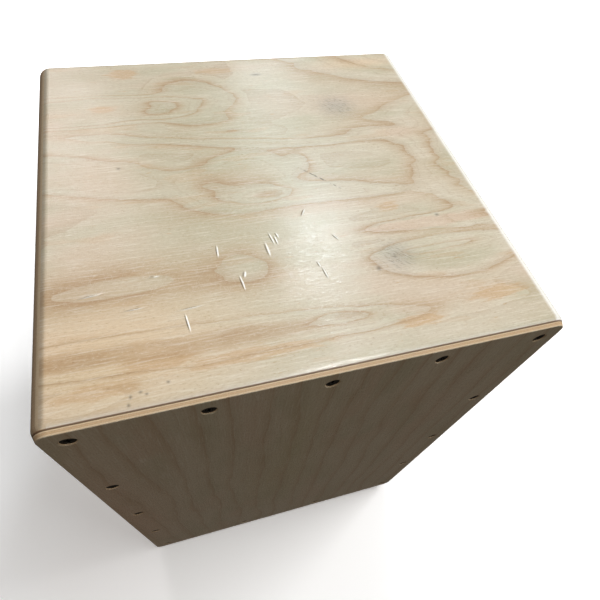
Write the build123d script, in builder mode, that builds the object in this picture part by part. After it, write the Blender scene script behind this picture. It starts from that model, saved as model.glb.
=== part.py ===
from build123d import *

import math
import os

# A compact box drum (cajon): a plywood box with a thin screwed-on playing face, a sound port in the
# back, four rubber feet, and an internal snare bar that turns on two end screws.
# Frame: +Z up, the playing face looks along -Y, and the origin is on the floor under the middle of the
# box. All dimensions are in millimetres.

# ---- driving dimensions -------------------------------------------------------------------------
BODY_WIDTH = 300.0
BODY_DEPTH = 300.0  # from the playing face's front to the back
BODY_HEIGHT = 416.0  # the wooden box, without its feet
FOOT_HEIGHT = 8.0
WALL = 9.0  # five-ply birch
TAPA = 3.0  # three-ply playing face
BACK = 5.0  # back panel, let into a rabbet in the four walls
BACK_LAP = 4.5  # how far the rabbet reaches into each wall
LONG_EDGE_RADIUS = 9.0  # the four box edges that run front to back
FRONT_RIM_REACH, FRONT_RIM_DROP = 5.0, 2.0  # slope round the playing face: back from it, and down
FRONT_RIM_EASE = 6.0  # rounding where that slope starts
FRONT_ARRIS_RADIUS = 0.6  # rounding where it meets the playing face
BACK_RIM_RADIUS = 7.0  # the edges round the back
SEAM = 0.35  # chamfer that leaves a fine groove where two panels meet
BATTEN = 15.0  # square strips behind the playing face
CORNER_LEG = 15.0  # three-cornered glue blocks inside the box
PORT_RADIUS = 55.0
PORT_EASE = 1.5  # rounding of the port's rim
SCREW_INSET = 14.5  # playing-face screws, from every outer edge
TOP_ROW, SIDE_COLUMN, BOTTOM_ROW = 5, 5, 4  # screws along each edge, corners counted

# Countersunk screws of the playing face, and the wider cones that they sit in
SCREW_RADIUS = 1.75
SCREW_LENGTH = 16.0
SCREW_HEAD_RADIUS = 4.0
SINK_RADIUS = 4.7
CLEARANCE_HOLE_RADIUS = 2.0

# Snare bar and its coiled wires
BAR = 18.0
BAR_BEHIND_TAPA = 31.0  # bar axis behind the playing face's inner side
BAR_BELOW_TOP = 162.0  # bar axis below the top of the box
BAR_EASE = 2.0
SNARE_LEAN = 8.0  # degrees by which the wires lean forwards, to the playing face
SNARE_CENTRE = 78.0  # middle of each set of wires, from the middle of the box
STRANDS = 10
STRAND_PITCH = 4.2
STRAND_RADIUS = 1.0
TIP_GAP = 0.4  # between the strands' tips and the playing face
PLATE_WIDTH, PLATE_HEIGHT, PLATE = 44.0, 16.0, 1.0
CRIMP_HEIGHT, CRIMP = 5.0, 2.0
CRIMP_MARGIN = 0.5  # the crimp stops this short of the plate's sides
PLATE_CORNER_RADIUS = 1.5
PLATE_SCREW_SPREAD = 28.0
PLATE_SCREW_DROP = 3.0
PLATE_SCREW_RADIUS, PLATE_SCREW_LENGTH = 1.5, 9.0
PLATE_SCREW_HEAD_RADIUS, PLATE_SCREW_HEAD = 2.8, 1.8
SLACK = 0.1  # how much wider than its screw a washer's or a plate's hole is

# Pivot screws: they bite into the ends of the snare bar and turn with it in the side panels
PIVOT_RADIUS = 2.0
PIVOT_LENGTH = 32.0
PIVOT_HEAD_RADIUS = 4.0
PIVOT_PLAY = 0.06  # radial play of each screw's smooth shank in its side panel
PIVOT_HEAD_GAP = 0.3  # between the head's cone and the panel's
WASHER = 0.8
WASHER_RADIUS = 7.0
BAR_END_PLAY = 0.3  # between each washer and its side panel

# Feet
FOOT_INSET = 34.0  # foot centre from the outer faces
FOOT_TOP_RADIUS, FOOT_BASE_RADIUS = 14.0, 12.5
FOOT_EASE = 1.5
FOOT_RECESS_RADIUS, FOOT_RECESS = 5.5, 4.2
FOOT_WASHER_RADIUS = 5.2
FOOT_SCREW_LENGTH = 11.0
FOOT_SCREW_HEAD_RADIUS, FOOT_SCREW_HEAD = 3.5, 2.0

# ---- places worked out from them ----------------------------------------------------------------
FRONT_Y, BACK_Y = -BODY_DEPTH / 2, BODY_DEPTH / 2
BOX_BOTTOM, BOX_TOP = FOOT_HEIGHT, FOOT_HEIGHT + BODY_HEIGHT
BOX_MIDDLE = (BOX_BOTTOM + BOX_TOP) / 2
HALF_WIDTH = BODY_WIDTH / 2
INNER_HALF_WIDTH = HALF_WIDTH - WALL
INNER_BOTTOM, INNER_TOP = BOX_BOTTOM + WALL, BOX_TOP - WALL
INNER_HEIGHT = INNER_TOP - INNER_BOTTOM
TAPA_BACK_Y = FRONT_Y + TAPA
BACK_PANEL_Y = BACK_Y - BACK
BATTEN_BACK_Y = TAPA_BACK_Y + BATTEN
WALL_DEPTH = BODY_DEPTH - TAPA
WALL_MIDDLE_Y = TAPA_BACK_Y + WALL_DEPTH / 2
BAR_AXIS = Vector(0, TAPA_BACK_Y + BAR_BEHIND_TAPA, BOX_TOP - BAR_BELOW_TOP)
SINK_DEPTH = SINK_RADIUS - SCREW_HEAD_RADIUS  # how far the heads lie below the face, in 90-degree cones


def evenly(first, last, count):
    """count values from first to last, evenly spaced."""
    return [first + (last - first) * i / (count - 1) for i in range(count)]


def write(part, name):
    """Labels one finished piece and writes it as parts/name.step."""
    part.label = name
    export_step(part, f"parts/{name}.step")


# ---- the outer shape, and the rabbet for the back panel ------------------------------------------
def box_envelope():
    """The whole box with its eased edges, which every outer panel is trimmed to."""
    with BuildPart() as envelope:
        with BuildSketch(Plane.XZ.offset(-FRONT_Y)):
            with Locations((0, BOX_MIDDLE)):
                RectangleRounded(BODY_WIDTH, BODY_HEIGHT, LONG_EDGE_RADIUS)
        extrude(amount=-BODY_DEPTH)
        front = envelope.faces().sort_by(Axis.Y)[0]
        chamfer(front.edges(), FRONT_RIM_DROP, FRONT_RIM_REACH, reference=front)
        slope_start = envelope.edges().group_by(Axis.Y)[2]
        fillet(slope_start, FRONT_RIM_EASE)
        fillet(envelope.faces().sort_by(Axis.Y)[0].edges(), FRONT_ARRIS_RADIUS)
        fillet(envelope.faces().sort_by(Axis.Y)[-1].edges(), BACK_RIM_RADIUS)
    return envelope.part


def back_blank():
    """The back panel's outline at its full thickness, which is also the rabbet's shape."""
    width = BODY_WIDTH - 2 * WALL + 2 * BACK_LAP
    height = INNER_HEIGHT + 2 * BACK_LAP
    with BuildPart() as blank:
        with BuildSketch(Plane.XZ.offset(-BACK_Y)):
            with Locations((0, BOX_MIDDLE)):
                RectangleRounded(width, height, LONG_EDGE_RADIUS - BACK_LAP)
        extrude(amount=BACK)
    return blank.part


# ---- fasteners -----------------------------------------------------------------------------------
THREAD_PITCH = 1.5
THREAD_DEPTH = 0.35
SMOOTH_SHARE = 0.25  # of a screw's length that has no thread, below its head
TIP_RADII = 2.2  # length of the pointed tip, in shank radii
CROSS_LENGTH, CROSS_WIDTH, CROSS_DEPTH = 1.1, 0.25, 0.42  # the drive recess, in head radii
CROSS_TAPER = 8.0  # degrees
PAN_TOP, PAN_SHOULDER = 0.7, 0.45  # flat top of a pan head in head radii, its shoulder in heights


def thread_points(radius, top, bottom):
    """Down one side of a screw's thread, from top to bottom: sharp crests and shallow roots."""
    points = []
    turns = int((top - bottom) / THREAD_PITCH)
    for i in range(turns):
        crest = top - i * THREAD_PITCH
        points += [(radius, crest), (radius - THREAD_DEPTH, crest - THREAD_PITCH / 2)]
    return points + [(radius, top - turns * THREAD_PITCH)]


def screw(radius, length, head_radius, head, countersunk):
    """A cross-recessed wood screw along -Z. A countersunk head's top is at Z = 0, and a pan head stands
    above Z = 0, where its shank starts. Length is measured from Z = 0 to the tip."""
    threads = thread_points(radius, -SMOOTH_SHARE * length - head, TIP_RADII * radius - length)
    if countersunk:
        top = 0.0
        outline = [(0, top), (head_radius, top), (radius, -head)]
    else:
        top = head
        shoulder = (head_radius, PAN_SHOULDER * head)
        outline = [(0, top), (PAN_TOP * head_radius, top), shoulder, (head_radius, 0), (radius, 0)]
    outline += [*threads, (0, -length)]
    with BuildPart() as made:
        with BuildSketch(Plane.XZ):
            with BuildLine():
                Polyline(*outline, close=True)
            make_face()
        revolve(axis=Axis.Z)
        with BuildSketch(Plane.XY.offset(top)):
            Rectangle(CROSS_WIDTH * head_radius, CROSS_LENGTH * head_radius)
            Rectangle(CROSS_LENGTH * head_radius, CROSS_WIDTH * head_radius)
        extrude(amount=-CROSS_DEPTH * head_radius, taper=CROSS_TAPER, mode=Mode.SUBTRACT)
    return made.part


def washer(outer, inner, thickness):
    """A flat ring that lies on Z = 0."""
    with BuildPart() as made:
        Cylinder(outer, thickness, align=(Align.CENTER, Align.CENTER, Align.MIN))
        Cylinder(
            inner,
            thickness,
            align=(Align.CENTER, Align.CENTER, Align.MIN),
            mode=Mode.SUBTRACT,
        )
    return made.part


def copies(shape, planes):
    """Separate copies of shape, one standing on each plane, as a single part."""
    with BuildPart() as made:
        with Locations(*planes):
            add(shape)
    return made.part


def face_plane(x, z):
    """A plane on the playing face at (x, z), looking out of it."""
    return Plane(origin=(x, FRONT_Y, z), x_dir=(1, 0, 0), z_dir=(0, -1, 0))


def tapa_screw_places():
    """The playing face's screws as three lists of planes: top row, both sides, bottom row."""
    left, right = -HALF_WIDTH + SCREW_INSET, HALF_WIDTH - SCREW_INSET
    top, bottom = BOX_TOP - SCREW_INSET, BOX_BOTTOM + SCREW_INSET
    top_row = [face_plane(x, top) for x in evenly(left, right, TOP_ROW)]
    bottom_row = [face_plane(x, bottom) for x in evenly(left, right, BOTTOM_ROW)]
    between = evenly(top, bottom, SIDE_COLUMN)[1:-1]
    sides = [face_plane(x, z) for x in (left, right) for z in between]
    return top_row, sides, bottom_row


def pivot_plane(side):
    """On a side wall's outer face at the snare bar's axis, looking out of the box."""
    return Plane(
        origin=(side * HALF_WIDTH, BAR_AXIS.Y, BAR_AXIS.Z), z_dir=(side, 0, 0), x_dir=(0, 1, 0)
    )


def foot_places():
    """Points on the floor under the middle of each foot, by name."""
    reach_x, reach_y = HALF_WIDTH - FOOT_INSET, BODY_DEPTH / 2 - FOOT_INSET
    return {
        "front_left": (-reach_x, -reach_y),
        "front_right": (reach_x, -reach_y),
        "back_left": (-reach_x, reach_y),
        "back_right": (reach_x, reach_y),
    }


# ---- box -----------------------------------------------------------------------------------------
def lying_panel(middle_z, envelope, rabbet):
    """The top or bottom panel, which covers the ends of the side walls."""
    with BuildPart() as panel:
        with Locations((0, WALL_MIDDLE_Y, middle_z)):
            Box(BODY_WIDTH, WALL_DEPTH, WALL)
        add(rabbet, mode=Mode.SUBTRACT)
        add(envelope, mode=Mode.INTERSECT)
    return panel.part


def bottom_panel(envelope, rabbet):
    """The bottom panel, with a blind hole for each foot's screw."""
    foot_planes = [Plane(origin=(x, y, BOX_BOTTOM), z_dir=(0, 0, -1)) for x, y in foot_places().values()]
    hole_depth = FOOT_SCREW_LENGTH - (FOOT_HEIGHT - FOOT_RECESS + WASHER)
    with BuildPart() as panel:
        add(lying_panel(BOX_BOTTOM + WALL / 2, envelope, rabbet))
        with Locations(*foot_planes):
            Hole(SCREW_RADIUS, depth=hole_depth)
    return panel.part


def side_panel(side, envelope, rabbet):
    """The left (side -1) or right (side 1) wall, countersunk for the snare bar's pivot screw."""
    sink_radius = PIVOT_HEAD_RADIUS + PIVOT_HEAD_GAP * math.sqrt(2)
    with BuildPart() as panel:
        with Locations((side * (HALF_WIDTH - WALL / 2), WALL_MIDDLE_Y, BOX_MIDDLE)):
            Box(WALL, WALL_DEPTH, INNER_HEIGHT)
        ends = panel.faces().filter_by(Axis.Z)
        outer = ends.edges().filter_by(Axis.Y).group_by(Axis.X)[0 if side < 0 else -1]
        chamfer(outer, SEAM)
        add(rabbet, mode=Mode.SUBTRACT)
        add(envelope, mode=Mode.INTERSECT)
        with Locations(pivot_plane(side)):
            CounterSinkHole(
                PIVOT_RADIUS + PIVOT_PLAY, sink_radius, depth=WALL, counter_sink_angle=90
            )
    return panel.part


def back_panel(blank, envelope):
    """The back, rounded with the box's rim, with its round sound port eased on both rims."""
    with BuildPart() as panel:
        add(blank)
        add(envelope, mode=Mode.INTERSECT)
        with Locations(Plane(origin=(0, BACK_Y, BOX_MIDDLE), z_dir=(0, 1, 0))):
            Hole(PORT_RADIUS, depth=BACK)
        rims = panel.edges().filter_by(GeomType.CIRCLE).group_by(SortBy.RADIUS)[-1]
        fillet(rims, PORT_EASE)
    return panel.part


def tapa(envelope, screw_planes):
    """The thin playing face, with a countersunk hole for each screw."""
    with BuildPart() as face:
        with Locations((0, FRONT_Y + TAPA / 2, BOX_MIDDLE)):
            Box(BODY_WIDTH, TAPA, BODY_HEIGHT)
        add(envelope, mode=Mode.INTERSECT)
        chamfer(face.faces().sort_by(Axis.Y)[-1].outer_wire().edges(), SEAM)
        with Locations(*screw_planes):
            CounterSinkHole(
                CLEARANCE_HOLE_RADIUS, SINK_RADIUS, depth=TAPA, counter_sink_angle=90
            )
    return face.part


def batten(length, along_x, centre, screw_planes):
    """A square strip behind the playing face, with a pilot hole for each screw that reaches it."""
    size = (length, BATTEN, BATTEN) if along_x else (BATTEN, BATTEN, length)
    with BuildPart() as strip:
        with Locations(centre):
            Box(*size)
        with Locations(*[plane.offset(-TAPA) for plane in screw_planes]):
            Hole(SCREW_RADIUS, depth=SCREW_LENGTH + SINK_DEPTH - TAPA)
    return strip.part


def corner_block(side, level):
    """A three-cornered glue block in the inner corner at x side (-1 or 1) and z level (-1 or 1)."""
    x, z = side * INNER_HALF_WIDTH, INNER_TOP if level > 0 else INNER_BOTTOM
    with BuildPart() as block:
        with BuildSketch(Plane.XZ.offset(-BATTEN_BACK_Y)):
            with BuildLine():
                Polyline((x, z), (x - side * CORNER_LEG, z), (x, z - level * CORNER_LEG), close=True)
            make_face()
        extrude(amount=-(BACK_PANEL_Y - BATTEN_BACK_Y))
    return block.part


# ---- snare bar and wires -------------------------------------------------------------------------
LEAN = math.radians(SNARE_LEAN)
SNARE_UP = Vector(0, -math.sin(LEAN), math.cos(LEAN))
SNARE_OUT = Vector(0, -math.cos(LEAN), -math.sin(LEAN))
STRAND_OUT = BAR / 2 + PLATE + STRAND_RADIUS  # strand axes in front of the bar's axis
STRAND_START = PLATE_HEIGHT / 2  # above the bar's axis, along the wires
STRAND_END = (
    BAR_BEHIND_TAPA - TIP_GAP - (STRAND_OUT + STRAND_RADIUS) * math.cos(LEAN)
) / math.sin(LEAN)


def snare_plane(x, out):
    """A plane that faces along the leaning bar's front, out in front of the bar's axis."""
    return Plane(origin=BAR_AXIS + SNARE_OUT * out + Vector(x, 0, 0), x_dir=(1, 0, 0), z_dir=SNARE_OUT)


def plate_screw_planes(middle):
    """Two planes on one snare plate's front, where its screws go in."""
    spread = PLATE_SCREW_SPREAD / 2
    drop = SNARE_UP * -PLATE_SCREW_DROP
    found = []
    for x in (middle - spread, middle + spread):
        plane = snare_plane(x, BAR / 2 + PLATE)
        found.append(Plane(origin=plane.origin + drop, x_dir=plane.x_dir, z_dir=plane.z_dir))
    return found


def snare_bar():
    """The square hardwood bar, with pilot holes for its pivot screws and the plates' screws."""
    length = 2 * (INNER_HALF_WIDTH - WASHER - BAR_END_PLAY)
    pilot_depth = PIVOT_LENGTH - WALL - WASHER - BAR_END_PLAY
    section = Plane(origin=BAR_AXIS, x_dir=SNARE_OUT, z_dir=(1, 0, 0))
    ends = [
        Plane(origin=BAR_AXIS + Vector(side * length / 2, 0, 0), x_dir=(0, 1, 0), z_dir=(side, 0, 0))
        for side in (-1, 1)
    ]
    plate_screws = plate_screw_planes(-SNARE_CENTRE) + plate_screw_planes(SNARE_CENTRE)
    with BuildPart() as bar:
        with BuildSketch(section):
            RectangleRounded(BAR, BAR, BAR_EASE)
        extrude(amount=length / 2, both=True)
        with Locations(*ends):
            Hole(PIVOT_RADIUS, depth=pilot_depth)
        with Locations(*[plane.offset(-PLATE) for plane in plate_screws]):
            Hole(PLATE_SCREW_RADIUS, depth=PLATE_SCREW_LENGTH - PLATE)
    return bar.part


def snare_plate(middle):
    """A steel plate with the folded crimp that holds one set of strands."""
    with BuildPart() as plate:
        with BuildSketch(snare_plane(middle, BAR / 2)):
            RectangleRounded(PLATE_WIDTH, PLATE_HEIGHT, PLATE_CORNER_RADIUS)
        extrude(amount=PLATE)
        with BuildSketch(snare_plane(middle, BAR / 2 + PLATE)):
            with Locations((0, PLATE_HEIGHT / 2 - CRIMP_HEIGHT / 2)):
                Rectangle(PLATE_WIDTH - 2 * CRIMP_MARGIN, CRIMP_HEIGHT)
        extrude(amount=CRIMP)
        with Locations(*plate_screw_planes(middle)):
            Hole(PLATE_SCREW_RADIUS + SLACK, depth=PLATE)
    return plate.part


def snare_strands(middle):
    """One set of strands, each as the plain rod that its coil fills."""
    reach = STRAND_PITCH * (STRANDS - 1) / 2
    start = BAR_AXIS + SNARE_OUT * STRAND_OUT + SNARE_UP * STRAND_START
    bottoms = [
        Plane(origin=start + Vector(x, 0, 0), x_dir=(1, 0, 0), z_dir=SNARE_UP)
        for x in evenly(middle - reach, middle + reach, STRANDS)
    ]
    with BuildPart() as rod:
        Cylinder(
            STRAND_RADIUS,
            STRAND_END - STRAND_START,
            align=(Align.CENTER, Align.CENTER, Align.MIN),
        )
    return copies(rod.part, bottoms)


# ---- feet ----------------------------------------------------------------------------------------
def rubber_foot(x, y):
    """A tapered rubber foot with a stepped hole for its screw and washer."""
    with BuildPart() as foot:
        with BuildSketch(Plane.XZ):
            with BuildLine():
                Polyline(
                    (CLEARANCE_HOLE_RADIUS, FOOT_HEIGHT),
                    (FOOT_TOP_RADIUS, FOOT_HEIGHT),
                    (FOOT_BASE_RADIUS, 0),
                    (FOOT_RECESS_RADIUS, 0),
                    (FOOT_RECESS_RADIUS, FOOT_RECESS),
                    (CLEARANCE_HOLE_RADIUS, FOOT_RECESS),
                    close=True,
                )
            make_face()
        revolve(axis=Axis.Z)
        base_rims = foot.edges().filter_by(GeomType.CIRCLE).group_by(Axis.Z)[0]
        fillet(base_rims.sort_by(SortBy.RADIUS)[-1], FOOT_EASE)
    return copies(foot.part, [Plane(origin=(x, y, 0))])


# ---- the drum ------------------------------------------------------------------------------------
def write_box():
    """The five glued panels, and the strips and blocks inside them."""
    envelope, rabbet = box_envelope(), back_blank()
    top_row, sides, bottom_row = tapa_screw_places()
    write(lying_panel(BOX_TOP - WALL / 2, envelope, rabbet), "seat_top_panel")
    write(bottom_panel(envelope, rabbet), "bottom_panel")
    write(back_panel(rabbet, envelope), "back_panel")
    write(tapa(envelope, top_row + sides + bottom_row), "tapa_front_plate")

    batten_y = TAPA_BACK_Y + BATTEN / 2
    across = 2 * INNER_HALF_WIDTH
    top_centre = (0, batten_y, INNER_TOP - BATTEN / 2)
    bottom_centre = (0, batten_y, INNER_BOTTOM + BATTEN / 2)
    write(batten(across, True, top_centre, top_row), "front_batten_top")
    write(batten(across, True, bottom_centre, bottom_row), "front_batten_bottom")
    for name, side in (("left", -1), ("right", 1)):
        write(side_panel(side, envelope, rabbet), f"{name}_side_panel")
        column = [plane for plane in sides if plane.origin.X * side > 0]
        centre = (side * (INNER_HALF_WIDTH - BATTEN / 2), batten_y, BOX_MIDDLE)
        write(batten(INNER_HEIGHT - 2 * BATTEN, False, centre, column), f"front_batten_{name}")
        for level_name, level in (("top", 1), ("bottom", -1)):
            write(corner_block(side, level), f"corner_block_{level_name}_{name}")


def write_tapa_screws():
    """The playing face's screws, a node for each row and one for the two sides."""
    head = SCREW_HEAD_RADIUS - SCREW_RADIUS
    one = screw(SCREW_RADIUS, SCREW_LENGTH, SCREW_HEAD_RADIUS, head, countersunk=True)
    names = ("tapa_screws_top_row", "tapa_screws_sides", "tapa_screws_bottom_row")
    for name, planes in zip(names, tapa_screw_places()):
        write(copies(one, [plane.offset(-SINK_DEPTH) for plane in planes]), name)


def write_snares():
    """The bar with its two sets of wires, and the screws and washers that it turns on."""
    pivot_head = PIVOT_HEAD_RADIUS - PIVOT_RADIUS
    pivot = screw(PIVOT_RADIUS, PIVOT_LENGTH, PIVOT_HEAD_RADIUS, pivot_head, countersunk=True)
    ring = washer(WASHER_RADIUS, PIVOT_RADIUS + SLACK, WASHER)
    plate_screw = screw(
        PLATE_SCREW_RADIUS,
        PLATE_SCREW_LENGTH,
        PLATE_SCREW_HEAD_RADIUS,
        PLATE_SCREW_HEAD,
        countersunk=False,
    )
    write(snare_bar(), "snare_bar")
    for name, side in (("left", -1), ("right", 1)):
        outside = pivot_plane(side)
        write(copies(pivot, [outside]), f"snare_pivot_screw_{name}")
        write(copies(ring, [outside.offset(-WALL - BAR_END_PLAY - WASHER)]), f"snare_washer_{name}")
        write(snare_plate(side * SNARE_CENTRE), f"snare_plate_{name}")
        write(snare_strands(side * SNARE_CENTRE), f"snare_wires_{name}")
        write(copies(plate_screw, plate_screw_planes(side * SNARE_CENTRE)), f"snare_plate_screws_{name}")


def write_feet():
    """Four feet, with their screws and washers as groups."""
    for name, (x, y) in foot_places().items():
        write(rubber_foot(x, y), f"rubber_foot_{name}")
    ring = washer(FOOT_WASHER_RADIUS, CLEARANCE_HOLE_RADIUS, WASHER)
    foot_screw = screw(
        SCREW_RADIUS, FOOT_SCREW_LENGTH, FOOT_SCREW_HEAD_RADIUS, FOOT_SCREW_HEAD, countersunk=False
    )
    seat = FOOT_RECESS - WASHER
    ring_planes = [Plane(origin=(x, y, seat)) for x, y in foot_places().values()]
    screw_planes = [Plane(origin=(x, y, seat), z_dir=(0, 0, -1)) for x, y in foot_places().values()]
    write(copies(ring, ring_planes), "foot_washers")
    write(copies(foot_screw, screw_planes), "foot_screws")


os.makedirs("parts", exist_ok=True)
write_box()
write_tapa_screws()
write_snares()
write_feet()
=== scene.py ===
import math

import bmesh
import bpy
from mathutils import Euler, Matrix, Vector


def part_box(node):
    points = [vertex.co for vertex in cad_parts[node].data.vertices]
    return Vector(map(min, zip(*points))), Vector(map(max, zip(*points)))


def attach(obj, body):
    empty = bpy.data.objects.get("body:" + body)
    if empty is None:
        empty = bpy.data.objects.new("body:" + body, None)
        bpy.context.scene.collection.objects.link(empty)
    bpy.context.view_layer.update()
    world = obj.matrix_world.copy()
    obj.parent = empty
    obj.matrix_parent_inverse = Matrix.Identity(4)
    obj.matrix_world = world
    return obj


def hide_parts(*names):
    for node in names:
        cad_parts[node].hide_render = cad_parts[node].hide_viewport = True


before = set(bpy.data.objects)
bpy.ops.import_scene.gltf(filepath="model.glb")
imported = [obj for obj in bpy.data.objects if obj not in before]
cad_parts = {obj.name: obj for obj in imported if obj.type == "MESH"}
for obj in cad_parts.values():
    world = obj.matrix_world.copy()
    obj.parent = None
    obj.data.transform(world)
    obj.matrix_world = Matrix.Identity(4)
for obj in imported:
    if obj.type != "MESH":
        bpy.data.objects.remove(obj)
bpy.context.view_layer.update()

MM = 0.001

X, Y, Z = 0, 1, 2

# ---- the panels, as the frame has them ----------------------------------------------------------
TAPA_LOW, TAPA_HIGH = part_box("tapa_front_plate")
TOP_LOW, TOP_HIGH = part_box("seat_top_panel")
BOTTOM_LOW, BOTTOM_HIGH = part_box("bottom_panel")
BACK_LOW, BACK_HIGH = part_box("back_panel")
SIDE_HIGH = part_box("right_side_panel")[1]


# ---- camera -------------------------------------------------------------------------------------
SENSOR_WIDTH = 36.0  # mm
FOCAL_LENGTH = 28.16  # mm
CAMERA_AT = (-71.0, -239.5, 645.9)  # mm
CAMERA_TURN = (0.59046, -0.10936, -0.27297)  # radians about X, Y and Z


def make_camera():
    """A phone's main camera, held above the playing face and looking down across the seat."""
    data = bpy.data.cameras.new("camera")
    data.sensor_width = SENSOR_WIDTH
    data.lens = FOCAL_LENGTH
    camera = bpy.data.objects.new("camera", data)
    camera.location = Vector(CAMERA_AT) * MM
    camera.rotation_euler = Euler(CAMERA_TURN, "XYZ")
    bpy.context.scene.collection.objects.link(camera)
    bpy.context.scene.camera = camera


# ---- node tools ---------------------------------------------------------------------------------
def srgb(red, green, blue):
    """A colour given in 0-255 display values, as the linear values that shaders use."""
    def linear(value):
        share = value / 255
        return share / 12.92 if share <= 0.04045 else ((share + 0.055) / 1.055) ** 2.4

    return (linear(red), linear(green), linear(blue), 1.0)


class Graph:
    """A material, with a short call for each kind of node. Values are sockets or plain numbers."""

    def __init__(self, name):
        self.material = bpy.data.materials.new(name)
        self.material.use_nodes = True
        self.tree = self.material.node_tree
        self.shader = self.tree.nodes["Principled BSDF"]

    def node(self, kind, **settings):
        made = self.tree.nodes.new(kind)
        for key, value in settings.items():
            setattr(made, key, value)
        return made

    def feed(self, socket, value):
        if isinstance(value, bpy.types.NodeSocket):
            self.tree.links.new(value, socket)
        else:
            socket.default_value = value

    def math(self, operation, *values):
        made = self.node("ShaderNodeMath", operation=operation)
        for socket, value in zip(made.inputs, values):
            self.feed(socket, value)
        return made.outputs[0]

    def add(self, a, b):
        return self.math("ADD", a, b)

    def less(self, a, b):
        return self.math("SUBTRACT", a, b)

    def times(self, a, b):
        return self.math("MULTIPLY", a, b)

    def most(self, a, b):
        return self.math("MAXIMUM", a, b)

    def smooth(self, value, start, end):
        """0 below start and 1 above end, smoothly; start may be above end."""
        made = self.node("ShaderNodeMapRange", interpolation_type="SMOOTHSTEP")
        for socket, number in zip(made.inputs, (value, start, end, 0.0, 1.0)):
            self.feed(socket, number)
        return made.outputs[0]

    def vector(self, x, y, z):
        made = self.node("ShaderNodeCombineXYZ")
        for socket, value in zip(made.inputs, (x, y, z)):
            self.feed(socket, value)
        return made.outputs[0]

    def split(self, vector):
        made = self.node("ShaderNodeSeparateXYZ")
        self.feed(made.inputs[0], vector)
        return made.outputs[0], made.outputs[1], made.outputs[2]

    def combine(self, operation, a, b):
        """A vector operation; only a dot product gives a plain value."""
        made = self.node("ShaderNodeVectorMath", operation=operation)
        self.feed(made.inputs[0], a)
        self.feed(made.inputs[1], b)
        return made.outputs["Value"] if operation == "DOT_PRODUCT" else made.outputs[0]

    def noise(self, vector, stretch, detail=3.0, roughness=0.5, distortion=0.0, colour=False):
        """Noise with grains about stretch = (x, y, z) long, in the vector's units."""
        scaled = self.combine("DIVIDE", vector, stretch)
        made = self.node("ShaderNodeTexNoise")
        self.feed(made.inputs["Vector"], scaled)
        made.inputs["Scale"].default_value = 1.0
        made.inputs["Detail"].default_value = detail
        made.inputs["Roughness"].default_value = roughness
        made.inputs["Distortion"].default_value = distortion
        return made.outputs["Color" if colour else "Fac"]

    def mix(self, share, a, b):
        """Colour a at a share of 0, colour b at 1."""
        made = self.node("ShaderNodeMix", data_type="RGBA", blend_type="MIX", clamp_factor=True)
        self.feed(made.inputs[0], share)
        self.feed(made.inputs[6], a)
        self.feed(made.inputs[7], b)
        return made.outputs[2]

    def plane(self, x, y, slope_x, slope_y, level):
        """The height of a tilted plane at (x, y)."""
        for value, slope in ((x, slope_x), (y, slope_y)):
            if slope:
                level = self.math("MULTIPLY_ADD", value, slope, level)
        return level

    def spot(self, place, centre, size, angle=0.0, bluntness=1):
        """A soft elliptical spot at place = (x, y): 1 at its centre and 1/e at size from it, and turned
        by angle in degrees. A bluntness over 1 gives it a flat top and steep sides."""
        turn = math.radians(angle)
        cos, sin = math.cos(turn), math.sin(turn)
        reach = 0.0
        for slope_x, slope_y, length in ((cos, sin, size[0]), (-sin, cos, size[1])):
            level = -(slope_x * centre[0] + slope_y * centre[1]) / length
            away = self.plane(*place, slope_x / length, slope_y / length, level)
            reach = self.math("MULTIPLY_ADD", away, away, reach)
        if bluntness > 1:
            reach = self.math("POWER", reach, bluntness)
        return self.math("POWER", math.exp(-1.0), reach)

    def turned(self, vector, angle):
        """The vector turned about Z by an angle in degrees."""
        made = self.node("ShaderNodeMapping")
        self.feed(made.inputs["Vector"], vector)
        made.inputs["Rotation"].default_value = (0.0, 0.0, math.radians(angle))
        return made.outputs[0]

    def bump(self, height, depth, normal=None):
        """The normal of a surface raised by depth metres where the height is 1."""
        made = self.node("ShaderNodeBump")
        made.inputs["Distance"].default_value = depth
        self.feed(made.inputs["Height"], height)
        if normal is not None:
            self.feed(made.inputs["Normal"], normal)
        return made.outputs[0]

    def place_mm(self):
        """Where the surface is in the object's own frame, in millimetres."""
        made = self.node("ShaderNodeTexCoord")
        return self.combine("MULTIPLY", made.outputs["Object"], (1000.0, 1000.0, 1000.0))

    def set(self, name, value):
        self.feed(self.shader.inputs[name], value)


# ---- wood ---------------------------------------------------------------------------------------
GROUND = srgb(208, 199, 178)
OLIVE = srgb(188, 183, 156)
PINK = srgb(209, 188, 166)
WARM = srgb(226, 198, 162)
TAN = srgb(201, 169, 130)
LATE_WOOD = srgb(162, 126, 84)
SILVER = srgb(236, 231, 218)
# A painted highlight: the colour of the scratches' lit sides
HIGHLIGHT_WHITE = srgb(250, 249, 244)
END_GRAIN = srgb(208, 176, 140)
LONG_GRAIN = srgb(222, 196, 162)
END_GRAIN_DARK = srgb(198, 166, 128)
LONG_GRAIN_DARK = srgb(212, 188, 152)
GLUE = srgb(128, 96, 64)
SEAM_DIRT = srgb(112, 80, 52)
GRIME = srgb(132, 134, 132)
DENT_AND_SHADE = srgb(92, 84, 74)
# The dark of dents, nicks and the cut, which also paints shade on the scratches' shaded sides
MOSS = srgb(190, 184, 140)
ROSE = srgb(222, 176, 150)
DUST = srgb(214, 200, 180)

# How far the features of birch reach along the grain and across it, in mm
BROAD_WAVES = (170.0, 42.0, 1.0)
CASTS = (85.0, 30.0, 1.0)
PATCHES = (60.0, 22.0, 1.0)
STAINS = (48.0, 11.0, 1.0)
FIBRES = (22.0, 1.1, 1.0)
RAGS = (12.0, 2.6, 1.0)
PORES = (9.0, 0.45, 1.0)
FACETS = (4.5, 1.4, 1.0)
OPEN_PORES = (3.2, 0.8, 1.0)
SPECKLE = (2.6, 0.9, 1.0)
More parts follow.
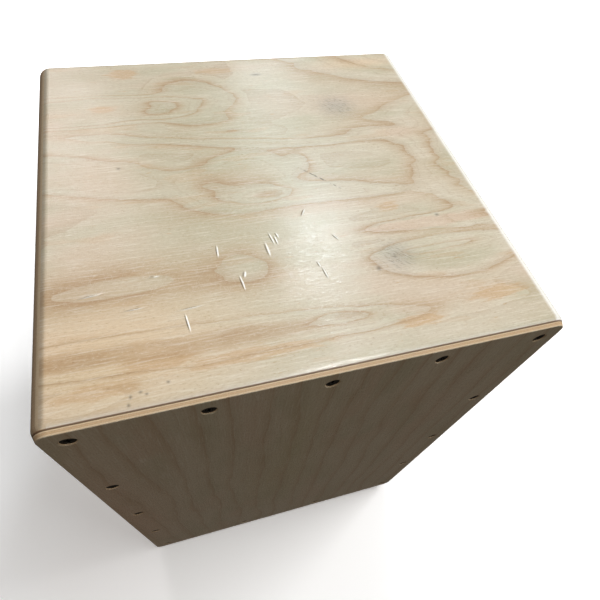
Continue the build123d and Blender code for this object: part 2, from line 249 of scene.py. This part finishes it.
# Waves that bend the growth lines, and how far they push them along and across the grain
WARPS = (((55.0, 20.0, 1.0), (30.0, 8.5, 0.0)), ((13.0, 5.0, 1.0), (5.5, 1.8, 0.0)))

RELIEF = 0.00009  # m, of the speckle in the wood
FACET_RELIEF = 0.00018  # m, of the lacquer over it
LACQUER_ROUGHNESS = 0.15


def wood_axes(g, along, across, depth, face, inward):
    """In millimetres: the place along and across the face grain, and the depth below the face."""
    parts = g.split(g.place_mm())
    deep = g.times(g.less(parts[depth], face / MM), inward)
    return parts[along], parts[across], deep


def growth_level(g, flat, moved, look):
    """The landscape whose contours are the growth lines."""
    warped = flat
    for stretch, reach in WARPS:
        wave = g.noise(moved, stretch, detail=2.0, colour=True)
        drift = g.combine("SUBTRACT", wave, (0.5, 0.5, 0.5))
        warped = g.combine("ADD", warped, g.combine("MULTIPLY", drift, reach))
    u, v, _ = g.split(warped)
    broad = g.noise(g.combine("ADD", warped, look["shift"]), BROAD_WAVES, detail=1.0)
    level = g.add(g.times(v, look["slope"]), g.times(u, look["slant"]))
    level = g.add(level, g.add(g.times(g.less(broad, 0.5), look["wander"]), 0.5))
    for centre, size, angle, height, bluntness in look["knolls"]:
        level = g.add(level, g.times(g.spot((u, v), centre, size, angle, bluntness), height))
    return level


def growth_lines(g, level, phase, moved):
    """How dark the late wood is: a line at each whole level, with two faint ones between."""
    strength = g.smooth(g.noise(g.combine("ADD", moved, (31.0, 7.0, 3.0)), PATCHES), 0.22, 0.62)
    strength = g.add(g.times(strength, 0.75), 0.25)
    rise = g.math("POWER", phase, 6.0)
    fall = g.times(g.math("POWER", g.less(1.0, phase), 8.0), 0.6)
    late = g.add(rise, fall)
    between = g.math("FRACT", g.add(g.times(level, 3.0), 0.4))
    faint = g.times(g.math("POWER", between, 6.0), 0.42)
    return g.times(g.most(late, faint), strength)


def ground(g, u, v, moved, look):
    """The colour under the growth lines: its casts and its stains."""
    olive_share, pink_share, tan_share = g.split(g.noise(moved, CASTS, detail=2.0, colour=True))
    colour = g.mix(g.times(g.smooth(olive_share, 0.42, 0.66), 0.75), GROUND, OLIVE)
    colour = g.mix(g.times(g.smooth(pink_share, 0.48, 0.68), 0.65), colour, PINK)
    for centre, size, tint, share in look["tints"]:
        colour = g.mix(g.times(g.spot((u, v), centre, size), share), colour, tint)
    ragged = g.times(g.less(g.noise(moved, RAGS, detail=4.0, roughness=0.6), 0.5), 1.3)
    for centre, size, tint, share in look["stains"]:
        patch = g.smooth(g.add(g.spot((u, v), centre, size), ragged), 0.18, 0.62)
        colour = g.mix(g.times(patch, share), colour, tint)
    blotches = g.noise(g.combine("ADD", moved, (5.0, 90.0, 9.0)), STAINS, detail=3.0)
    stained = g.times(g.smooth(blotches, 0.60, 0.66), look["mottle"])
    return g.mix(g.times(g.add(stained, g.times(tan_share, 0.08)), 0.7), colour, TAN)


def fine_grain(g, colour, moved):
    """The colour with its pores, its silky fibres and its speckle, and the speckle on its own."""
    pores = g.noise(moved, PORES, detail=3.0, roughness=0.65)
    colour = g.mix(g.times(g.smooth(pores, 0.44, 0.30), 0.26), colour, LATE_WOOD)
    fibres = g.noise(moved, FIBRES, detail=3.0, roughness=0.6)
    colour = g.mix(g.times(g.smooth(fibres, 0.48, 0.72), 0.34), colour, SILVER)
    speckle = g.noise(moved, SPECKLE, detail=3.0, roughness=0.7)
    colour = g.mix(g.times(g.smooth(speckle, 0.46, 0.30), 0.30), colour, LATE_WOOD)
    colour = g.mix(g.times(g.smooth(speckle, 0.54, 0.72), 0.30), colour, SILVER)
    return colour, speckle


def veneer(g, u, v, look):
    """Rotary-cut birch: its colour, and the speckle that also gives it relief."""
    flat = g.vector(u, v, 0.0)
    moved = g.combine("ADD", flat, look["shift"])
    level = growth_level(g, flat, moved, look)
    phase = g.math("FRACT", level)
    lines = growth_lines(g, level, phase, moved)
    colour = ground(g, u, v, moved, look)
    colour = g.mix(g.times(g.math("POWER", phase, 3.0), 0.34 * look["contrast"]), colour, TAN)
    colour = g.mix(g.times(lines, 0.66 * look["contrast"]), colour, LATE_WOOD)
    return fine_grain(g, colour, moved)


def plies(g, colour, deep, place, look, thickness, count):
    """The colour with the plywood's cut edge below its skin, and 1 where the edge shows. Cross plies
    show end grain, with a thin glue line at each joint."""
    share = g.times(deep, count / thickness)
    crossed = g.math("GREATER_THAN", g.math("FRACT", g.times(share, 0.5)), 0.5)
    grain = g.noise(place, (0.6, 0.6, 0.6), detail=3.0)
    long_grain = g.mix(g.smooth(grain, 0.35, 0.65), LONG_GRAIN, LONG_GRAIN_DARK)
    end_grain = g.mix(g.smooth(grain, 0.35, 0.65), END_GRAIN, END_GRAIN_DARK)
    edge = g.mix(crossed, long_grain, end_grain)
    from_joint = g.math("ABSOLUTE", g.less(g.math("FRACT", g.add(share, 0.5)), 0.5))
    edge = g.mix(g.times(g.smooth(from_joint, 0.10, 0.04), 0.35), edge, GLUE)
    cut = g.smooth(deep, look["skin"], look["skin"] + 0.3)
    return g.mix(cut, colour, edge), cut


def line_at(g, value, at, reach):
    """1 within reach of a value, fading to 0 at twice that."""
    return g.smooth(g.math("ABSOLUTE", g.less(value, at)), 2 * reach, reach)


# A panel's looks, where it has none of its own. The growth lines come from a tilted landscape, with
# its slope across the grain and its slant along it, which has broad hills (wander) and single ones
# (knolls). Contrast is how dark they are. Tints are soft casts, stains are ragged, and mottle is the
# share of stray stains. Skin is how deep the face's colour goes on the edge, in mm.
WOOD_LOOK = dict(
    slope=0.022, slant=0.0, wander=3.6, knolls=(), contrast=0.9,
    tints=(), stains=(), mottle=0.8, skin=0.6,
)


def panel_material(name, axes, face, inward, ply, shift, finish=None, **changes):
    """One plywood panel, lacquered on its face.

    The axes are those along the grain, across it and through the panel. Inward is 1 or -1, the way
    from the face into the wood. Ply is the panel's thickness in mm and its number of plies, and shift
    picks another piece of veneer. A finish takes the graph, the place (along, across, deep), and the
    colour, roughness and height, and returns the last three and a normal to build on, or None."""
    look = {**WOOD_LOOK, **changes, "shift": shift}
    g = Graph(name)
    place = g.place_mm()
    u, v, deep = wood_axes(g, *axes, face, inward)
    flat = g.vector(u, v, 0.0)
    colour, speckle = veneer(g, u, v, look)
    colour, cut = plies(g, colour, deep, place, look, *ply)
    worn = g.noise(place, (38.0, 26.0, 30.0), detail=4.0, roughness=0.65)
    rough = g.add(g.times(worn, 0.20), 0.26)
    rough = g.add(rough, g.times(g.less(speckle, 0.5), 0.5))
    rough = g.add(rough, g.times(cut, 0.12))
    facets = g.noise(flat, FACETS, detail=1.0)
    height, normal = speckle, None
    if finish:
        colour, rough, height, normal = finish(g, (u, v, deep), colour, rough, height)
    g.set("Base Color", colour)
    g.set("Roughness", rough)
    open_pores = g.noise(flat, OPEN_PORES, detail=3.0, roughness=0.7)
    g.set("Coat Weight", g.add(g.times(g.smooth(open_pores, 0.38, 0.62), 0.70), 0.10))
    g.set("Coat Roughness", LACQUER_ROUGHNESS)
    g.set("Normal", g.bump(height, RELIEF, normal))
    g.set("Coat Normal", g.bump(facets, FACET_RELIEF, normal))
    return g.material


# Gentle hills that shape the seat's growth lines: centre and reach in mm, turn in degrees, height
# in growth lines, and bluntness
SEAT_KNOLLS = (
    ((-118, 86), (88, 18), 0, 2.2, 3),
    ((-40, 88), (36, 36), 0, 0.75, 3),
    ((-30, 55), (34, 6), -6, -0.7, 1),
    ((-60, 47), (84, 5), -9, 0.9, 1),
    ((20, 34), (70, 5), -3, 0.8, 1),
    ((-128, 20), (82, 19), -14, 1.2, 2),
    ((-108, -74), (104, 22), 0, 0.5, 1),
    ((-30, -74), (20, 20), -20, 0.35, 1),
    ((-110, -116), (175, 11), -2, 1.5, 2),
    ((17, -117), (20, 4.5), -3, 0.9, 1),
    ((-20, 2), (40, 26), 14, 1.2, 2),
    ((14, -20), (74, 14), 0, 0.8, 1),
    ((-5, -17), (17, 6), 0, 0.9, 1),
    ((58, -22), (42, 8), -6, 0.6, 1),
    ((26, 14), (9, 12), 0, 0.6, 1),
    ((168, 66), (80, 17), 7, 1.1, 1),
    ((180, 0), (70, 62), 30, 2.1, 2),
    ((95, 36), (40, 7), -8, 0.6, 1),
    ((105, -58), (66, 7), 0, 0.9, 2),
    ((100, -86), (58, 19), 0, 0.95, 3),
    ((92, -79), (32, 4), 3, 0.9, 1),
    ((160, 142), (98, 36), -6, 2.3, 1),
)
# Soft casts on the seat: centre and reach in mm, the tint, and its share
SEAT_TINTS = (
    ((-115, -112), (75, 45), WARM, 0.75),
    ((-25, 40), (95, 90), OLIVE, 0.75),
    ((95, 78), (36, 14), PINK, 0.7),
    ((112, 36), (22, 8), PINK, 0.9),
    ((110, -8), (16, 24), PINK, 0.5),
    ((-62, 82), (20, 9), OLIVE, 0.9),
    ((-20, 20), (16, 9), OLIVE, 0.9),
    ((-60, -60), (50, 24), OLIVE, 0.6),
    ((-50, -27), (22, 4), LATE_WOOD, 0.22),
    ((-46, 18), (7, 12), LATE_WOOD, 0.3),
    ((112, 132), (34, 8), WARM, 0.6),
)
# Ragged stains in the seat's veneer: centre and reach in mm, the tint, and its share
SEAT_STAINS = (
    ((95, -58), (50, 5), PINK, 0.9),
    ((-88, 132), (12, 7), TAN, 0.7),
    ((-105, 88), (10, 4), TAN, 0.6),
    ((-16, 130), (16, 4), TAN, 0.6),
    ((-45, 122), (13, 2.5), OLIVE, 0.9),
    ((-88, -124), (20, 5), TAN, 0.8),
    ((-38, -130), (40, 4), TAN, 0.7),
    ((-118, -134), (20, 4), TAN, 0.7),
    ((58, -129), (14, 4), TAN, 0.8),
    ((116, -120), (20, 5), TAN, 0.75),
    ((72, -40), (9, 4), TAN, 0.7),
    ((-4, -16), (9, 4), LATE_WOOD, 0.4),
    ((17, -117), (11, 2.5), LATE_WOOD, 0.35),
)
# Raised scratches in the lacquer: centre, half length and half width in mm, and turn in degrees
SEAT_SCRATCHES = (
    ((-17, -62), (4.2, 0.7), 94),
    ((-12.5, -54), (3.4, 0.5), 100),
    ((-10, -56), (2.6, 0.45), 96),
    ((-8.5, -52), (1.6, 0.5), 104),
    ((-37, -84), (3.6, 0.5), 96),
    ((-34.5, -78), (1.8, 0.7), 72),
    ((13, -86), (3.4, 0.5), 98),
    ((11, -79), (1.6, 0.5), 104),
    ((13, -36), (2.4, 0.5), 60),
    ((28, -60), (2.2, 0.5), 120),
    ((-47, -58), (3.2, 0.5), 86),
    ((-71, -104), (4.0, 0.45), 96),
    ((-120, -77), (5.0, 0.4), 5),
    ((-85, -70), (2.2, 0.7), 0),
    ((-98, -90), (5.0, 0.4), 3),
    ((-68, -95), (6.0, 0.4), 4),
)
# Grey rubbed places, and small dark dents: centre and reach in mm
SEAT_SMUDGES = (((72, 73), (13, 12)), ((62, -82), (11, 10)))
SEAT_DENTS = (
    ((-98, 23), (1.2, 1.0)),
    ((104, -53), (1.4, 1.1)),
    ((47, -89), (1.6, 1.6)),
    ((-98.5, -138.4), (0.9, 0.7)),
    ((-103.3, -140), (0.7, 1.0)),
    ((-95.7, -140), (0.8, 0.6)),
    ((-104.5, -144), (0.7, 0.9)),
    ((-85, -136), (0.8, 0.7)),
    ((17, 122), (4.0, 1.4)),
)
# A dark cut in the seat: centre and reach in mm, turn in degrees, and bluntness
SEAT_CUT = ((34, -6), (17.0, 0.7), -46, 3)
# Hairlines by direction: the turn in degrees, and the level over which a hairline shows
SEAT_HAIRLINES = ((12.0, 0.66), (78.0, 0.67), (-52.0, 0.68), (110.0, 0.68))
# The silver hairlines are painted brightest in these places; there they are partly painted glints in
# the lamp's reflection
# Where people sit and hit, the first also where the lamp's reflection falls: centre and reach in mm
SEAT_WEAR_AND_GLINT = (((10, -65), (75, 45)), ((-80, -70), (60, 40)))
SCRATCH_HEIGHT = 0.0004  # m
# Painted light on the scratches: sides facing this way get a painted highlight, and the other sides get
# painted shade
SCRATCH_LIT_SIDE = (0.95, -0.3, 0.0)  # the way the scratches' bright sides face
# Small chips in the playing face: centre and reach up and across, in mm
TAPA_CHIPS = (((354, -111), (3.0, 0.6)), ((354, -108.5), (2.4, 0.5)))
# Soft casts on the playing face: centre and reach up and across in mm, the tint, and its share
TAPA_TINTS = (
    ((215, -15), (95, 34), MOSS, 0.55),
    ((330, -10), (70, 12), MOSS, 0.4),
    ((200, -150), (170, 36), ROSE, 0.6),
    ((120, 110), (150, 50), DUST, 0.5),
)
TAPA_BACK = TAPA_HIGH.y / MM


def seat_rubs(g, place, flat, colour):
    """The seat's colour with its grey smudges and their nicks, its small dents and one long cut."""
    crossing = g.noise(g.turned(flat, 38.0), (5.0, 0.8, 1.0), detail=2.0)
    nicks = g.smooth(crossing, 0.54, 0.64)
    for centre, size in SEAT_SMUDGES:
        patch = g.spot(place, centre, size)
        colour = g.mix(g.times(patch, 0.34), colour, GRIME)
        colour = g.mix(g.times(g.times(patch, nicks), 0.6), colour, DENT_AND_SHADE)
    for centre, size in SEAT_DENTS:
        colour = g.mix(g.times(g.spot(place, centre, size), 0.6), colour, DENT_AND_SHADE)
    broken = g.smooth(g.noise(flat, (1.8, 1.8, 1.0)), 0.42, 0.56)
    cut = g.times(g.spot(place, *SEAT_CUT), broken)
    return g.mix(g.times(cut, 0.7), colour, DENT_AND_SHADE), cut


def seat_scratches(g, place, colour):
    """The colour with a painted highlight and painted shade on the scratches' two sides, the scratches,
    and their normal.
    """
    scratches = 0.0
    for centre, size, turn in SEAT_SCRATCHES:
        scratches = g.most(scratches, g.spot(place, centre, size, turn))
    ridged = g.bump(scratches, SCRATCH_HEIGHT)
    lit_side_on = g.combine("DOT_PRODUCT", ridged, SCRATCH_LIT_SIDE)
    # Painted shade on one side of each scratch and a painted highlight on the other, by which way its
    # slope faces
    colour = g.mix(g.times(g.smooth(lit_side_on, -0.03, -0.28), 0.45), colour, DENT_AND_SHADE)
    colour = g.mix(g.times(g.smooth(lit_side_on, 0.02, 0.25), 0.85), colour, HIGHLIGHT_WHITE)
    return colour, scratches, ridged


def seat_hairlines(g, place, flat):
    """1 on the fine hairlines, which are fainter away from where the seat is used and where the lamp's
    reflection falls.
    """
    hairlines = 0.0
    for turn, threshold in SEAT_HAIRLINES:
        hair = g.noise(g.turned(flat, turn), (9.0, 0.35, 1.0), detail=1.0)
        hairlines = g.most(hairlines, g.smooth(hair, threshold, threshold + 0.06))
    wear_and_glint = g.most(*(g.spot(place, centre, size) for centre, size in SEAT_WEAR_AND_GLINT))
    return g.times(hairlines, g.add(g.times(wear_and_glint, 0.9), 0.1))


def seat_finish(g, place, colour, rough, height):
    """Years of sitting: grey smudges, nicks, scratches with a painted highlight and painted shade on
    their sides, and a grimy seam.
    """
    u, v, _ = place
    flat = g.vector(u, v, 0.0)
    colour, cut = seat_rubs(g, (u, v), flat, colour)
    colour, scratches, ridged = seat_scratches(g, (u, v), colour)
    hairlines = seat_hairlines(g, (u, v), flat)
    # Silver hairlines: wear scratches, and partly painted glints where the lamp's reflection falls
    colour = g.mix(g.times(hairlines, 0.35), colour, SILVER)
    seam = g.smooth(v, TAPA_BACK + 0.75, TAPA_BACK + 0.3)
    colour = g.mix(g.times(seam, 0.85), colour, SEAM_DIRT)
    rough = g.add(rough, g.times(g.most(scratches, hairlines), -0.12))
    height = g.add(height, g.times(cut, -2.0))
    return colour, rough, height, ridged


def tapa_finish(g, place, colour, rough, height):
    """Grime in the seam round the back of the playing face, and two small chips."""
    u, v, deep = place
    colour = g.mix(g.times(g.smooth(deep, 2.45, 2.75), 0.85), colour, SEAM_DIRT)
    chips = g.most(*(g.spot((u, v), centre, size) for centre, size in TAPA_CHIPS))
    colour = g.mix(g.times(chips, 0.7), colour, SILVER)
    return colour, rough, height, None


def side_finish(g, place, colour, rough, height):
    """Grime in the seams along the top and bottom panels and behind the playing face."""
    u, v, _ = place
    seams = g.most(line_at(g, u, TOP_LOW.z / MM, 0.4), line_at(g, u, BOTTOM_HIGH.z / MM, 0.4))
    seams = g.most(seams, line_at(g, v, TAPA_BACK, 0.4))
    return g.mix(g.times(seams, 0.75), colour, SEAM_DIRT), rough, height, None


def back_finish(g, place, colour, rough, height):
    """A fine dark line where the back panel meets the walls round it."""
    u, v, _ = place
    middle = (BACK_LOW.z + BACK_HIGH.z) / 2 / MM
    half_width, half_height = BACK_HIGH.x / MM, (BACK_HIGH.z - BACK_LOW.z) / 2 / MM
    across = line_at(g, g.math("ABSOLUTE", v), half_width, 0.35)
    up = line_at(g, g.math("ABSOLUTE", g.less(u, middle)), half_height, 0.35)
    return g.mix(g.times(g.most(across, up), 0.75), colour, SEAM_DIRT), rough, height, None


WALL = ((TOP_HIGH.z - TOP_LOW.z) / MM, 5)
BACK_PLY = (5.0, 5)
TAPA_PLY = (3.0, 3)


def make_panel_materials():
    """One material for each plywood panel, with its grain the way the panel is cut."""
    return {
        "seat_top_panel": panel_material(
            "birch_seat", (X, Y, Z), TOP_HIGH.z, -1, WALL, (310.0, 170.0, 0.0), seat_finish,
            slope=0.0, wander=0.35, knolls=SEAT_KNOLLS, contrast=1.08,
            tints=SEAT_TINTS, stains=SEAT_STAINS, mottle=0.35,
        ),
        "bottom_panel": panel_material(
            "birch_bottom", (X, Y, Z), BOTTOM_LOW.z, 1, WALL, (900.0, 40.0, 0.0)
        ),
        "right_side_panel": panel_material(
            "birch_right", (Z, Y, X), SIDE_HIGH.x, -1, WALL, (40.0, 600.0, 0.0), side_finish
        ),
        "left_side_panel": panel_material(
            "birch_left", (Z, Y, X), -SIDE_HIGH.x, 1, WALL, (700.0, 300.0, 0.0), side_finish
        ),
        "back_panel": panel_material(
            "birch_back", (Z, X, Y), BACK_HIGH.y, -1, BACK_PLY, (1500.0, 800.0, 0.0), back_finish
        ),
        "tapa_front_plate": panel_material(
            "birch_tapa", (Z, X, Y), TAPA_LOW.y, 1, TAPA_PLY, (2100.0, 500.0, 0.0), tapa_finish,
            slope=0.052, slant=0.001, wander=1.15, contrast=0.8,
            tints=TAPA_TINTS, mottle=0.0, skin=0.15,
        ),
    }


# Solid timbers: the axis of the grain, the pale and the dark wood, and the rings' spacing in mm
TIMBERS = {
    "pine_along_x": (X, srgb(226, 200, 152), srgb(190, 146, 92), 5.0),
    "pine_along_y": (Y, srgb(224, 198, 150), srgb(188, 144, 90), 5.0),
    "pine_along_z": (Z, srgb(226, 200, 152), srgb(190, 146, 92), 5.0),
    "beech_bar": (X, srgb(205, 160, 112), srgb(168, 116, 74), 3.0),
}


def solid_wood(name):
    """Planed solid timber with straight growth rings and fine fibres along one axis."""
    along, pale, dark, spacing = TIMBERS[name]
    g = Graph(name)
    place = g.place_mm()
    stretch = [spacing] * 3
    stretch[along] = 160.0
    rings = g.noise(place, tuple(stretch), detail=2.0, distortion=0.3)
    fibre = [0.5] * 3
    fibre[along] = 14.0
    fibres = g.noise(place, tuple(fibre), detail=2.0)
    colour = g.mix(g.smooth(rings, 0.4, 0.62), pale, dark)
    colour = g.mix(g.times(g.smooth(fibres, 0.5, 0.3), 0.3), colour, dark)
    g.set("Base Color", colour)
    g.set("Roughness", g.add(g.times(fibres, 0.2), 0.55))
    g.set("Normal", g.bump(fibres, 0.00008))
    return g.material


# ---- metal and rubber ---------------------------------------------------------------------------
BLACKED, RUBBED = srgb(7, 7, 8), srgb(80, 78, 76)
RUBBER, FLOOR_DUST = srgb(30, 30, 31), srgb(120, 114, 106)
DUSTED_HEIGHT = 4.0  # mm, how far floor dust climbs up the feet
# Plated steels: the tint, the duller tint of its mottle, and the size of its drawn lines in mm
STEELS = {
    "zinc_plate": (srgb(196, 198, 200), srgb(160, 163, 168), (0.6, 0.6, 0.6)),
    "nickel_plate": (srgb(205, 202, 196), srgb(176, 173, 167), (18.0, 0.4, 0.4)),
    "snare_wire_steel": (srgb(214, 214, 214), srgb(184, 186, 190), (0.3, 0.3, 2.5)),
}


def black_oxide():
    """Black screws: dull black with rubbed brighter specks."""
    g = Graph("black_oxide")
    place = g.place_mm()
    mottle = g.noise(place, (1.2, 1.2, 1.2), detail=4.0, roughness=0.7)
    rubbed = g.smooth(g.noise(place, (0.35, 0.35, 0.35), detail=2.0), 0.66, 0.78)
    g.set("Base Color", g.mix(g.times(rubbed, 0.6), BLACKED, RUBBED))
    g.set("Specular IOR Level", 0.2)
    g.set("Roughness", g.add(g.times(mottle, 0.25), 0.40))
    g.set("Normal", g.bump(mottle, 0.00003))
    return g.material


def steel(name):
    """Plated steel: a mottled plate with fine drawn lines."""
    tint, dull, grain = STEELS[name]
    g = Graph(name)
    place = g.place_mm()
    mottle = g.noise(place, (3.0, 3.0, 3.0), detail=3.0)
    lines = g.noise(place, grain, detail=2.0)
    colour = g.mix(g.smooth(mottle, 0.35, 0.7), tint, dull)
    g.set("Base Color", colour)
    g.set("Metallic", 1.0)
    g.set("Roughness", g.add(g.times(lines, 0.22), 0.20))
    g.set("Normal", g.bump(lines, 0.00002))
    return g.material


def rubber():
    """Moulded rubber with a fine matt texture and a little floor dust near its base."""
    g = Graph("foot_rubber")
    place = g.place_mm()
    _, _, height = g.split(place)
    fine = g.noise(place, (0.45, 0.45, 0.45), detail=3.0)
    low = g.smooth(height, DUSTED_HEIGHT, 0.0)
    dust = g.times(low, g.smooth(g.noise(place, (3.0, 3.0, 1.5), detail=4.0), 0.4, 0.7))
    g.set("Base Color", g.mix(g.times(dust, 0.6), RUBBER, FLOOR_DUST))
    g.set("Roughness", g.add(g.times(fine, 0.2), 0.65))
    g.set("Normal", g.bump(fine, 0.00012))
    return g.material


# ---- snare wires --------------------------------------------------------------------------------
STRANDS = 10  # in each set
STRAND_RADIUS = 1.0 * MM
STRAND_LEAN = math.radians(8.0)  # from upright
WIRE_RADIUS = 0.26 * MM
COIL_PITCH = 0.9 * MM
STEPS_PER_TURN, WIRE_SIDES = 8, 4


def coil(mesh, foot, top):
    """One helical spring from foot to top, as a tube of wire."""
    rise = top - foot
    up = rise.normalized()
    side = up.cross(Vector((1, 0, 0))).normalized()
    other = up.cross(side)
    steps = int(rise.length / COIL_PITCH * STEPS_PER_TURN)
    radius = STRAND_RADIUS - WIRE_RADIUS
    rings = []
    for i in range(steps + 1):
        turn = math.tau * i / STEPS_PER_TURN
        out = side * math.cos(turn) + other * math.sin(turn)
        climbed = WIRE_RADIUS + (rise.length - 2 * WIRE_RADIUS) * i / steps
        centre = foot + up * climbed + out * radius
        ring = []
        for k in range(WIRE_SIDES):
            around = math.tau * (k + 0.5) / WIRE_SIDES
            towards = out * math.cos(around) + up * math.sin(around)
            ring.append(mesh.verts.new(centre + towards * WIRE_RADIUS))
        rings.append(ring)
    for low, high in zip(rings, rings[1:]):
        for k in range(WIRE_SIDES):
            after = (k + 1) % WIRE_SIDES
            mesh.faces.new((low[k], low[after], high[after], high[k]))
    mesh.faces.new(rings[0][::-1])
    mesh.faces.new(rings[-1])


def snare_set(name, node, material):
    """One set of coiled strands in the place of its plain CAD rods."""
    low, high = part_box(node)
    inset_y, inset_z = STRAND_RADIUS * math.cos(STRAND_LEAN), STRAND_RADIUS * math.sin(STRAND_LEAN)
    mesh = bmesh.new()
    for i in range(STRANDS):
        x = low.x + STRAND_RADIUS + (high.x - low.x - 2 * STRAND_RADIUS) * i / (STRANDS - 1)
        foot = Vector((x, high.y - inset_y, low.z + inset_z))
        top = Vector((x, low.y + inset_y, high.z - inset_z))
        coil(mesh, foot, top)
    bmesh.ops.recalc_face_normals(mesh, faces=mesh.faces)
    data = bpy.data.meshes.new(name)
    mesh.to_mesh(data)
    mesh.free()
    for face in data.polygons:
        face.use_smooth = True
    data.materials.append(material)
    made = bpy.data.objects.new(name, data)
    bpy.context.scene.collection.objects.link(made)
    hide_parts(node)
    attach(made, "snares")


# ---- room ---------------------------------------------------------------------------------------
DAYLIGHT, COOL, ROSY = (1.0, 0.995, 0.99), (0.78, 0.91, 1.0), (1.0, 0.90, 0.93)
SKY, SKY_STRENGTH = (1.0, 0.84, 0.66, 1.0), 0.115
# Lamps: name, place and the point it faces in m, width and height in m, watts, tint, and whether
# the lacquer shows its reflection
LAMPS = (
    ("ceiling", (2.6, 0.5, 2.9), (0.0, 0.0, 0.4), (1.6, 1.4), 91.0, DAYLIGHT, False),
    ("lamp", (0.535, 1.02, 1.765), (0.015, -0.06, 0.424), (0.23, 0.29), 4.4, COOL, True),
    ("front_ceiling", (0.53, -0.34, 2.17), (0.0, -0.1, 0.3), (0.60, 0.22), 10.0, DAYLIGHT, True),
    ("window", (0.47, 1.75, 1.53), (0.02, 0.09, 0.424), (0.30, 0.75), 2.6, COOL, True),
    ("side_window", (-0.45, 1.55, 1.66), (-0.12, 0.03, 0.424), (0.5, 0.7), 4.0, ROSY, True),
    ("overhead", (0.5, 0.25, 2.1), (0.0, 0.0, 0.424), (0.5, 0.4), 4.0, COOL, True),
    ("behind", (-0.5, 2.1, 0.62), (0.0, 0.0, 0.22), (0.6, 0.4), 11.0, DAYLIGHT, False),
)
ROOM_RADIUS = 7.0  # m
# The stage's shade, and its own glow near and far: by the drum it is low, so that the shadow shows
FLOOR_LOOK = (244, 0.30, 0.9)
BACKDROP_LOOK = (200, 0.86, 0.86)
NEAR, FAR = 380.0, 900.0  # mm from the middle


def area_light(name, at, towards, size, power, tint, reflected):
    """A rectangular lamp at a point, facing another."""
    data = bpy.data.lights.new(name, "AREA")
    data.shape = "RECTANGLE"
    data.size, data.size_y = size
    data.energy = power
    data.color = tint
    lamp = bpy.data.objects.new(name, data)
    lamp.location = Vector(at)
    lamp.rotation_euler = (Vector(towards) - Vector(at)).to_track_quat("-Z", "Y").to_euler()
    lamp.visible_glossy = reflected
    bpy.context.scene.collection.objects.link(lamp)


def stage_material(name, shade, near_glow, far_glow):
    """A matt pale material with a faint mottle that gives off some light of its own."""
    g = Graph(name)
    mottle = g.noise(g.place_mm(), (220.0, 220.0, 220.0), detail=3.0)
    pale, dull = srgb(shade, shade, shade), srgb(shade - 6, shade - 6, shade - 6)
    g.set("Base Color", g.mix(g.times(mottle, 0.4), pale, dull))
    g.set("Roughness", 0.9)
    g.set("Specular IOR Level", 0.1)
    g.set("Emission Color", (1.0, 1.0, 1.0, 1.0))
    away_squared = g.combine("DOT_PRODUCT", g.place_mm(), g.place_mm())
    grown = g.smooth(away_squared, NEAR**2, FAR**2)
    g.set("Emission Strength", g.add(g.times(grown, far_glow - near_glow), near_glow))
    return g.material


def hide_from_the_drum(piece):
    """Lets only the camera see a piece, so it neither lights the drum nor shows in its lacquer."""
    piece.visible_diffuse = False
    piece.visible_glossy = False
    piece.visible_transmission = False


def make_floor():
    """A pale floor inside a pale dome."""
    bpy.ops.mesh.primitive_circle_add(vertices=64, radius=ROOM_RADIUS, fill_type="NGON")
    floor = bpy.context.object
    bpy.ops.mesh.primitive_uv_sphere_add(segments=48, ring_count=24, radius=ROOM_RADIUS)
    backdrop = bpy.context.object
    backdrop.visible_shadow = False
    for piece, name, looks in ((floor, "floor", FLOOR_LOOK), (backdrop, "backdrop", BACKDROP_LOOK)):
        piece.name = name
        piece.data.materials.append(stage_material(name, *looks))
        hide_from_the_drum(piece)


def make_room():
    """A dim warm sky, the floor and its backdrop, and soft lamps above and behind the drum."""
    world = bpy.data.worlds.new("room")
    world.use_nodes = True
    background = world.node_tree.nodes["Background"]
    background.inputs["Color"].default_value = SKY
    background.inputs["Strength"].default_value = SKY_STRENGTH
    bpy.context.scene.world = world
    make_floor()
    for lamp in LAMPS:
        area_light(*lamp)
    bpy.context.scene.view_settings.view_transform = "Standard"


# ---- finishes on the CAD nodes ------------------------------------------------------------------
def dress(node, material):
    """Gives a CAD node its finish."""
    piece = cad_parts[node]
    piece.data.materials.clear()
    piece.data.materials.append(material)


def finish_of_each_node():
    """The finish of every CAD node that stays as it is."""
    finishes = make_panel_materials()
    pine_x, pine_y, pine_z = (solid_wood(f"pine_along_{axis}") for axis in "xyz")
    beech, black = solid_wood("beech_bar"), black_oxide()
    zinc, nickel, foot = steel("zinc_plate"), steel("nickel_plate"), rubber()
    # The first start that fits a node's name gives its finish
    name_starts = {
        "front_batten_top": pine_x,
        "front_batten_bottom": pine_x,
        "front_batten": pine_z,
        "corner_block": pine_y,
        "snare_bar": beech,
        "tapa_screws": black,
        "snare_pivot_screw": black,
        "foot_": zinc,
        "snare_washer": zinc,
        "snare_plate_screws": zinc,
        "snare_plate": nickel,
        "rubber_foot": foot,
    }
    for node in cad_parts:
        fitting = [start for start in name_starts if node.startswith(start)]
        if node not in finishes and fitting:
            finishes[node] = name_starts[fitting[0]]
    return finishes


make_camera()
make_room()
for node, material in finish_of_each_node().items():
    dress(node, material)
wire = steel("snare_wire_steel")
for side in ("left", "right"):
    snare_set(f"snare_coils_{side}", f"snare_wires_{side}", wire)
